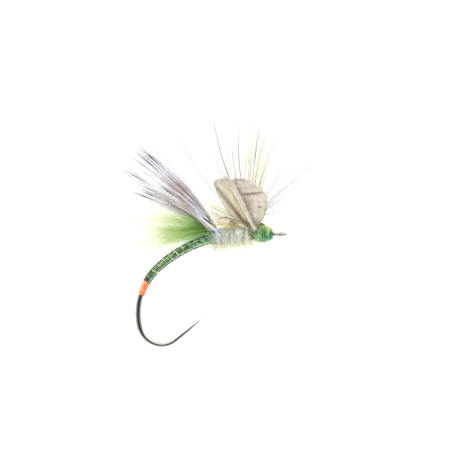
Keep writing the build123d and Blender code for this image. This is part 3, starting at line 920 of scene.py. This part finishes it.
def build_hackle():
    """Stiff barbs in a fan that seems to spring from behind the foam, dark at the root of some."""
    rng = np.random.default_rng(50)
    # Angle above +X, reach, tone and half-thickness of the barbs that stand out; the rest fill the fan.
    barbs = [
        (109.5, 11.7, DARK, 0.03), (120, 7.5, DARK, 0.02), (131.6, 11.6, OLIVE, 0.019),
        (97, 9.1, DARK, 0.02), (95, 10.6, OLIVE, 0.018), (104, 7.6, DARK, 0.018),
        (113, 6.4, OLIVE, 0.017), (88, 10.6, YELLOW, 0.028), (85, 10.4, YELLOW, 0.03),
        (83.2, 9.6, OLIVE, 0.028), (81.5, 10.2, DARK, 0.024), (79, 10.0, YELLOW, 0.03),
        (77.5, 9.2, OLIVE, 0.024), (75.6, 9.3, YELLOW, 0.028), (72, 8.3, YELLOW, 0.028),
        (70, 9.0, OLIVE, 0.022), (66, 7.4, YELLOW, 0.026), (50, 7.5, GREY, 0.022),
        (37, 5.8, GREY, 0.02), (36.7, 9.9, GREY, 0.024), (31, 8.4, GREY, 0.018),
        (26, 5.8, GREY, 0.02), (22.8, 6.2, GREY, 0.018), (3, 4.9, GREY, 0.02),
        (44, 8.6, GREY, 0.016), (16, 5.0, GREY, 0.016), (158, 5.2, YELLOW, 0.04),
        (161, 5.0, OLIVE, 0.022), (162.5, 5.3, YELLOW, 0.04), (156.5, 4.9, YELLOW, 0.034),
        (139, 6.2, YELLOW, 0.02), (176, 4.8, AMBER, 0.034), (173, 4.3, OLIVE, 0.026),
        (166, 4.6, YELLOW, 0.03),
    ]
    fill_tones = [YELLOW, YELLOW, OLIVE, GREY]
    for _ in range(24):
        barbs.append((rng.uniform(66, 117), rng.uniform(6.2, 10.2), rng.choice(fill_tones), 0.014))
    for _ in range(8):
        barbs.append((rng.uniform(5, 60), rng.uniform(5, 9), GREY, 0.012))
    degrees, reach, tone, thick = np.array(barbs).T[..., None]
    angle = np.radians(degrees)
    share = shares(16)
    behind = rng.uniform(0.9, 1.25, angle.shape)
    root = xyz(COLLAR[X] + 0.22 * np.cos(angle), 0.3, COLLAR[Z] + rng.uniform(-0.1, 0.25, angle.shape))
    tilt = rng.uniform(0.08, 0.34, angle.shape)
    sway = rng.normal(0, 1.5, angle.shape)
    bow = np.radians(np.interp(degrees, [0, 30, 80, 100, 132], [14, 3, 3, 10, 19]) + sway)

    # Each barb is a curve from its root past a knee to its tip; both lie round a point behind the foam.
    fan_x, fan_z = -3.6, 1.9

    def seen(turned, out, y):
        return xyz(fan_x + out * np.cos(turned), y, fan_z + out * np.sin(turned))

    knee = seen(angle + bow, 0.48 * reach, behind + tilt * reach * 0.4)
    tip = seen(angle, reach, behind + tilt * reach)
    along = share[:, None]
    paths = (1 - along) ** 2 * root + 2 * along * (1 - along) * knee + along**2 * tip

    # Ten more stand out toward the near side.
    each = (10, 1)
    heading = np.radians(np.linspace(186, 344, 10)[:, None] + rng.normal(0, 5, each))
    lean = np.radians(rng.uniform(56, 72, each))
    length = rng.uniform(6.8, 8.6, (10, 1, 1))
    way = xyz(np.cos(lean) * np.cos(heading), -np.sin(lean), 0.1 * np.cos(lean) * np.sin(heading))
    near = xyz(COLLAR[X] + 0.3 * np.cos(heading), -0.35, COLLAR[Z]) + way * length * along
    near[..., Z] += 0.5 * share**2
    paths = np.concatenate([paths, near])
    thick = np.concatenate([thick, np.full(each, 0.013)])
    tone = np.concatenate([tone, rng.choice([YELLOW, GREY], each)])
    radii = 1.2 * thick * np.interp(share, [0, 0.15, 0.6, 1], [1, 1, 0.85, 0.4])
    look = hackle_look()
    made = strands("hackle_fibres", paths, radii, look, seed=51, extra={"tone": tone})
    fit(made, "hackle_barbs", "hackle")
    build_near_barbs(rng, look)
    build_web_oval(rng, look)


def near_barbs(name, paths, radii, look, sides, seed, tone=None):
    """Strands that rest on the thorax by their tips."""
    extra = None if tone is None else {"tone": tone}
    made = strands(name, paths, radii, look, sides=sides, seed=seed, extra=extra)
    fit(made, None, "foam_post", NEAR_BARB_BEND)


def build_near_barbs(rng, look):
    """Soft webby amber barbs that lie back from the collar on the near side, over the wing root."""
    count, steps = 34, 14
    each = (count, 1)
    share = shares(steps)
    # They lie in three groups: over the thorax, along it, and short ones round the collar.
    group = rng.integers(0, 3, each)
    heading = (rng.normal(157, 5, each), rng.normal(178, 5, each), rng.normal(200, 14, each))
    length = (rng.uniform(3.0, 5.0, each), rng.uniform(2.4, 4.2, each), rng.uniform(0.8, 2.2, each))
    sag = (rng.normal(-10, 8, each), rng.normal(16, 10, each), rng.normal(30, 14, each))
    root = COLLAR * (1, 0, 1) + xyz(
        rng.uniform(-0.9, 0.3, count) - 0.9,
        rng.uniform(-0.6, -0.2, count),
        rng.uniform(-0.35, 0.35, count),
    )
    angle = np.radians(np.choose(group, heading) + np.choose(group, sag) * (share[1:] - 0.3))
    drift = rng.uniform(-0.7, -0.05, each)
    step = np.choose(group, length)[..., None] / (steps - 1)
    paths = walked(root, xyz(np.cos(angle), drift, np.sin(angle)) * step)
    tone = rng.choice([YELLOW, AMBER, AMBER, OLIVE], count)
    near_barbs("near_barbs", paths, (0.026, 0.01), look, 4, 52, tone)

    web_count = 320
    barb = rng.integers(0, count, web_count)
    where = rng.integers(1, steps - 3, web_count)
    start = paths[barb, where]
    outward = unit(paths[barb, where + 1] - start)
    across = unit(np.cross(outward, ACROSS)) * rng.choice([-1.0, 1.0], (web_count, 1))
    size = rng.uniform(0.25, 0.8, (web_count, 1, 1))
    fine = shares(5)[:, None]
    curl = rng.normal(0, 0.12, (web_count, 1, 3))
    web = outward[:, None] * fine * 0.8 + across[:, None] * fine**0.8 * 0.45 + curl * fine
    near_barbs("near_barb_web", start[:, None] + size * web, (0.009, 0.004), look, 3, 53, tone[barb])


def build_web_oval(rng, look):
    """A pale soft patch by the wing root, ringed by barbs that loop round it."""
    middle = np.array([-6.2, -1.0, 1.5])
    half_long, half_high = 0.72, 0.42

    def on_oval(turned, size, y):
        return middle + xyz(half_long * size * np.cos(turned), y, half_high * size * np.sin(turned))

    each = (4, 1)
    begin = np.radians(15 + rng.normal(0, 10, each))
    turned = begin + np.radians(rng.uniform(250, 325, each)) * shares(18)
    paths = on_oval(turned, rng.uniform(0.85, 1.12, each), 0.12 * np.sin(2 * turned))
    tone = rng.choice([AMBER, OLIVE, YELLOW], 4)
    near_barbs("looped_barbs", paths, (0.026, 0.014), look, 4, 54, tone)

    each = (190, 1)
    turned = rng.uniform(0, math.tau, each)
    start = on_oval(turned, 0.8 * np.sqrt(rng.random(each)), rng.uniform(-0.25, 0.0, each))
    way = xyz(rng.normal(-0.25, 0.25, each), rng.normal(0, 0.1, each), rng.normal(0, 0.12, each))
    web = Look("web_look", Roughness=0.6)
    web.glow(0.3)
    tone = web.tones(web.attribute("seed"), (0, 255, 232, 218), (0.4, 255, 248, 242), (1, 255, 255, 255))
    web.thin(tone, 0.6, 0.2)
    near_barbs("pale_web", start + way * shares(6)[:, None], (0.03, 0.012), web.material, 3, 55)


# ---------------------------------------------------------------- wings
NEAR_ROOT = joint_point("near_wing_flex")
# So many millimetres along the fibres, given to fit in their bend.
FIBRE_BEND = 2.0


def wing_look():
    """White fibres with brown patches and dark bars, more see-through where they are white."""
    look = Look("wing_look", Roughness=0.25)
    own = look.attribute("seed")
    pale = look.tones(
        own,
        (0.0, 255, 255, 255),
        (0.35, 250, 249, 254),
        (0.6, 238, 236, 248),
        (0.85, 255, 255, 255),
        (1.0, 230, 224, 224),
    )
    brown = look.tones(own, (0.0, 234, 208, 188), (0.5, 208, 176, 154), (1.0, 158, 126, 106))
    streaks = look.mask(look.noise(2.4, 3, stretch=(0.2, 1, 1), turn=45), 0.42, 0.58)
    patch = look.times(look.attribute("brown"), look.plus(look.times(streaks, 0.6), 0.4))
    colour = look.mix(look.attribute("dark"), look.mix(patch, pale, brown), paint(84, 74, 72))
    look.bump(look.noise(9, 2, stretch=(0.2, 1, 1), turn=45), 0.3, 0.02)
    solid = look.math("MAXIMUM", look.attribute("brown"), look.attribute("dark"))
    open_share = look.plus(look.times(look.attribute("share"), 0.4), 0.25)
    look.thin(colour, 0.6, look.times(look.math("SUBTRACT", 1.0, solid), open_share))
    return look.material


def wing(node, root, look, seed, lower, upper, length, brown, brown_side, drift, locks, barred):
    """Long fibres in locks. lower and upper are (start angle, end angle) above -X for the fan's two edges.

    brown is where the brown patch starts and stops along a fibre, brown_side its place across the fan,
    drift how far the fibres head toward +Y, and barred the share of fibres with a dark tip.
    """
    rng = np.random.default_rng(seed)
    count, steps = 110, 18
    lock = rng.integers(0, locks, count)
    band = clamp((lock + 0.5) / locks + rng.normal(0, 0.22 / locks, count))
    begin = lower[0] + (upper[0] - lower[0]) * band + rng.normal(0, 1.0, count)
    finish = lower[1] + (upper[1] - lower[1]) * band + rng.normal(0, 1.2, count)
    lengths = length * (0.86 + 0.1 * rng.random(count) + 0.1 * band) * (1 - 0.08 * rng.random(locks)[lock])
    short = rng.random(count) < 0.3
    lengths[short] *= rng.uniform(0.55, 0.85, short.sum())
    roots = root + xyz(
        0.5 * (band - 0.35) + rng.normal(0, 0.05, count),
        rng.normal(0, 0.09, count),
        -0.25 + 0.3 * band + rng.normal(0, 0.05, count),
    )
    paths = headed_paths(roots, begin, finish, lengths, drift + rng.normal(0, 0.05, count), steps)
    thin = rng.random(count) < 0.24
    width = np.where(thin, 0.022, rng.uniform(0.05, 0.09, count))
    share = shares(steps)
    profile = np.interp(share, [0, 0.15, 0.5, 0.8, 1], [0.4, 0.6, 0.85, 0.55, 0.14])
    half_patch = (brown[1] - brown[0]) / 2
    patch_at = (brown[1] + brown[0]) / 2 + rng.normal(0, 0.05, (count, 1))
    patch = clamp(1.4 - np.abs(share - patch_at) / half_patch)
    patch = patch * clamp(1.25 - np.abs(band - brown_side) / 0.5)[:, None]
    tips = clamp(1 - np.abs(share - 0.82) * 5.5) * (rng.random((count, 1)) < barred)
    edges = (thin * rng.uniform(0.12, 0.62, count))[:, None]
    radii = width[:, None] * profile + 0.012 * tips
    extra = {"brown": patch, "dark": clamp(tips * 0.85 + edges)}
    name = node + "_fibres"
    made = strands(name, paths, radii, look, sides=4, flatness=0.35, seed=seed, extra=extra)
    fit(made, node, node, (root, (lower[0] + upper[0]) / 2, FIBRE_BEND))


def build_wings():
    """The steeper near wing, the flatter far wing and the flash along the near one."""
    look = wing_look()
    wing(
        "near_wing", NEAR_ROOT, look, 61, lower=(51, 30), upper=(70, 45), length=13.9,
        brown=(0.3, 0.54), brown_side=0.5, drift=-0.12, locks=5, barred=0.28,
    )
    wing(
        "far_wing", joint_point("far_wing_flex"), look, 62, lower=(37, 21), upper=(50, 31), length=11.3,
        brown=(0.32, 0.66), brown_side=0.8, drift=0.05, locks=4, barred=0.08,
    )
    build_flash()


def build_flash():
    """Flat shining strands, striped lengthwise, low on the near wing's outer face."""
    count, steps = 5, 18
    each = np.arange(5.0)
    roots = NEAR_ROOT + xyz(0.55 - 0.02 * each, -0.3 - 0.05 * (each % 2), -0.18 + 0.17 * each)
    lengths = np.linspace(5.2, 7.4, count)
    paths = headed_paths(roots, 30 + 3.5 * each, 47 - each, lengths, -0.06, steps)
    look = Look("flash_look", Roughness=0.15, Metallic=0.35)
    stripe = look.noise(3.2, 2, stretch=(0.12, 1, 1), turn=40)
    tone = look.tones(
        stripe,
        (0.4, 28, 32, 44),
        (0.46, 170, 176, 196),
        (0.58, 232, 235, 248),
        (0.75, 250, 250, 255),
    )
    look.colour(tone)
    look.bump(stripe, 0.4, 0.03)
    width = np.random.default_rng(65).uniform(0.09, 0.13, (count, 1))
    radii = width * np.interp(shares(steps), [0, 0.1, 0.8, 1], [0.8, 1, 0.8, 0.3])
    made = strands("flash_ribbons", paths, radii, look.material, sides=6, flatness=0.25, seed=66)
    fit(made, "flash_strands", "near_wing", (NEAR_ROOT, 60, FIBRE_BEND))


def build_tuft():
    """Green down: plumes that fan back from the root, each with fine curling barbules."""
    rng = np.random.default_rng(70)
    count, steps = 56, 16
    root = joint_point("tuft_flex")
    bend = (root, 10, FIBRE_BEND)
    rise = rng.uniform(0, 1, count)
    begin = -14 + 50 * rise + rng.normal(0, 3, count)
    end = -16 + 27 * rise + rng.normal(0, 8, count)
    lengths = rng.uniform(5.6, 10.6, count)
    roots = root + xyz(
        rng.uniform(-0.2, 0.35, count),
        rng.normal(0, 0.18, count),
        rng.uniform(-0.4, 0.3, count),
    )
    paths = headed_paths(roots, begin, end, lengths, 0.2 * rise + rng.normal(0, 0.07, count), steps)
    look = Look("tuft_look", Roughness=0.5)
    depth = look.attribute("reach")
    spread = look.times(look.math("SUBTRACT", look.attribute("seed"), 0.5), 0.4)
    tone = look.tones(
        look.plus(depth, spread),
        (0.05, 92, 168, 70),
        (0.18, 162, 216, 112),
        (0.34, 206, 234, 150),
        (0.52, 232, 244, 188),
        (0.75, 246, 249, 224),
    )
    look.thin(tone, 0.5, look.plus(look.times(depth, 0.3), 0.26))
    # How deep in the colour a point lies is its distance along a plume, as a share of this length.
    full_reach = 8.6
    extra = {"reach": shares(steps) * (lengths / full_reach)[:, None]}
    made = strands("tuft_stems", paths, (0.035, 0.008), look.material, sides=4, seed=71, extra=extra)
    fit(made, "green_tuft", "tuft", bend)

    fine_count = 4600
    plume = rng.integers(0, count, fine_count)
    place = rng.beta(1.2, 0.9, fine_count) * (steps - 2)
    whole = place.astype(int)
    part = (place - whole)[:, None]
    before, after = paths[plume, whole], paths[plume, whole + 1]
    start = before * (1 - part) + after * part
    outward = unit(after - before)
    fan = rng.uniform(0, math.tau, (fine_count, 1))
    across = unit(np.cross(outward, ACROSS))
    side = across * np.cos(fan) + np.cross(across, outward) * np.sin(fan) * 0.6
    spread = rng.uniform(0.25, 0.75, (fine_count, 1))
    curl = rng.normal(0, 0.25, (fine_count, 1, 3))
    size = rng.uniform(0.7, 2.2, fine_count) * (1 - 0.3 * place / steps)
    fine = shares(6)[:, None]
    way = (outward * (1 - 0.3 * spread))[:, None] * fine + (side * spread)[:, None] * fine**0.8
    down_paths = start[:, None] + size[:, None, None] * (way + curl * fine**2)
    reach = clamp(place / steps * lengths[plume] / full_reach)[:, None] + 0.18 * shares(6)
    extra = {"reach": reach}
    down = strands("tuft_down", down_paths, (0.0105, 0.004), look.material, sides=3, seed=72, extra=extra)
    fit(down, None, "tuft", bend)


# ---------------------------------------------------------------- stage
def build_sky(scene):
    """A white sky that is brighter to the camera than as a light."""
    world = bpy.data.worlds.new("studio")
    scene.world = world
    world.use_nodes = True
    tree = world.node_tree
    background = tree.nodes["Background"]
    background.inputs["Color"].default_value = (1, 1, 1, 1)
    rays = tree.nodes.new("ShaderNodeLightPath")
    strength = tree.nodes.new("ShaderNodeMix")
    strength.inputs[2].default_value = 0.6
    strength.inputs[3].default_value = 1.05
    tree.links.new(rays.outputs["Is Camera Ray"], strength.inputs[0])
    tree.links.new(strength.outputs[0], background.inputs["Strength"])


def build_floor(scene):
    half, z = 1.0, -45 * MM
    corners = [(-half, -half, z), (half, -half, z), (half, half, z), (-half, half, z)]
    mesh = bpy.data.meshes.new("floor")
    mesh.from_pydata(corners, [], [(0, 1, 2, 3)])
    floor = bpy.data.objects.new("floor", mesh)
    scene.collection.objects.link(floor)
    paper = Look("floor_look", Roughness=0.9)
    grain = paper.noise(0.05, 2)
    paper.colour(paper.ramp(grain, (0.3, (0.95, 0.95, 0.95)), (0.7, (0.98, 0.98, 0.98))))
    paper.glow(0.5)
    mesh.materials.append(paper.material)


def build_lamp(scene, name, place, size, run, power):
    """A rectangle of light that faces the fly; its length runs one way."""
    lamp = bpy.data.lights.new(name, "AREA")
    lamp.shape = "RECTANGLE"
    lamp.size, lamp.size_y = (part * MM for part in size)
    lamp.energy = power
    shown = bpy.data.objects.new(name, lamp)
    shown.location = [part * MM for part in place]
    backward = (shown.location - Vector((-5 * MM, 0, 0))).normalized()
    crosswise = backward.cross(Vector(run)).normalized()
    facing = Matrix((crosswise.cross(backward), crosswise, backward)).transposed()
    shown.rotation_mode = "QUATERNION"
    shown.rotation_quaternion = facing.to_quaternion()
    scene.collection.objects.link(shown)


def build_stage():
    """The sky, the floor, four lamps and the camera, which looks along +Y and a little down."""
    scene = bpy.context.scene
    scene.view_settings.view_transform = "Standard"
    build_sky(scene)
    build_floor(scene)
    build_lamp(scene, "key", (-65, -70, 85), (120, 24), (0.85, 0, 0.53), 0.09)
    build_lamp(scene, "rim", (60, 20, 70), (40, 40), (0, 1, 0), 0.03)
    build_lamp(scene, "front", (40, -90, 20), (30, 30), (0, 0, 1), 0.012)
    build_lamp(scene, "back", (-10, 110, 40), (120, 120), (1, 0, 0), 0.13)

    target = Vector((-5.72 * MM, 0, 0.55 * MM))
    distance, elevation = 140 * MM, math.radians(6)
    lens = bpy.data.cameras.new("camera")
    lens.lens = 100
    lens.sensor_width = 36
    lens.clip_start = 0.005
    camera = bpy.data.objects.new("camera", lens)
    camera.location = target + Vector((0, -math.cos(elevation), math.sin(elevation))) * distance
    camera.rotation_mode = "QUATERNION"
    camera.rotation_quaternion = (target - camera.location).to_track_quat("-Z", "Y")
    scene.collection.objects.link(camera)
    scene.camera = camera


build_hook()
build_head()
build_abdomen()
build_thorax()
build_lashing()
build_stub()
build_foam()
build_hackle()
build_wings()
build_tuft()
build_stage()
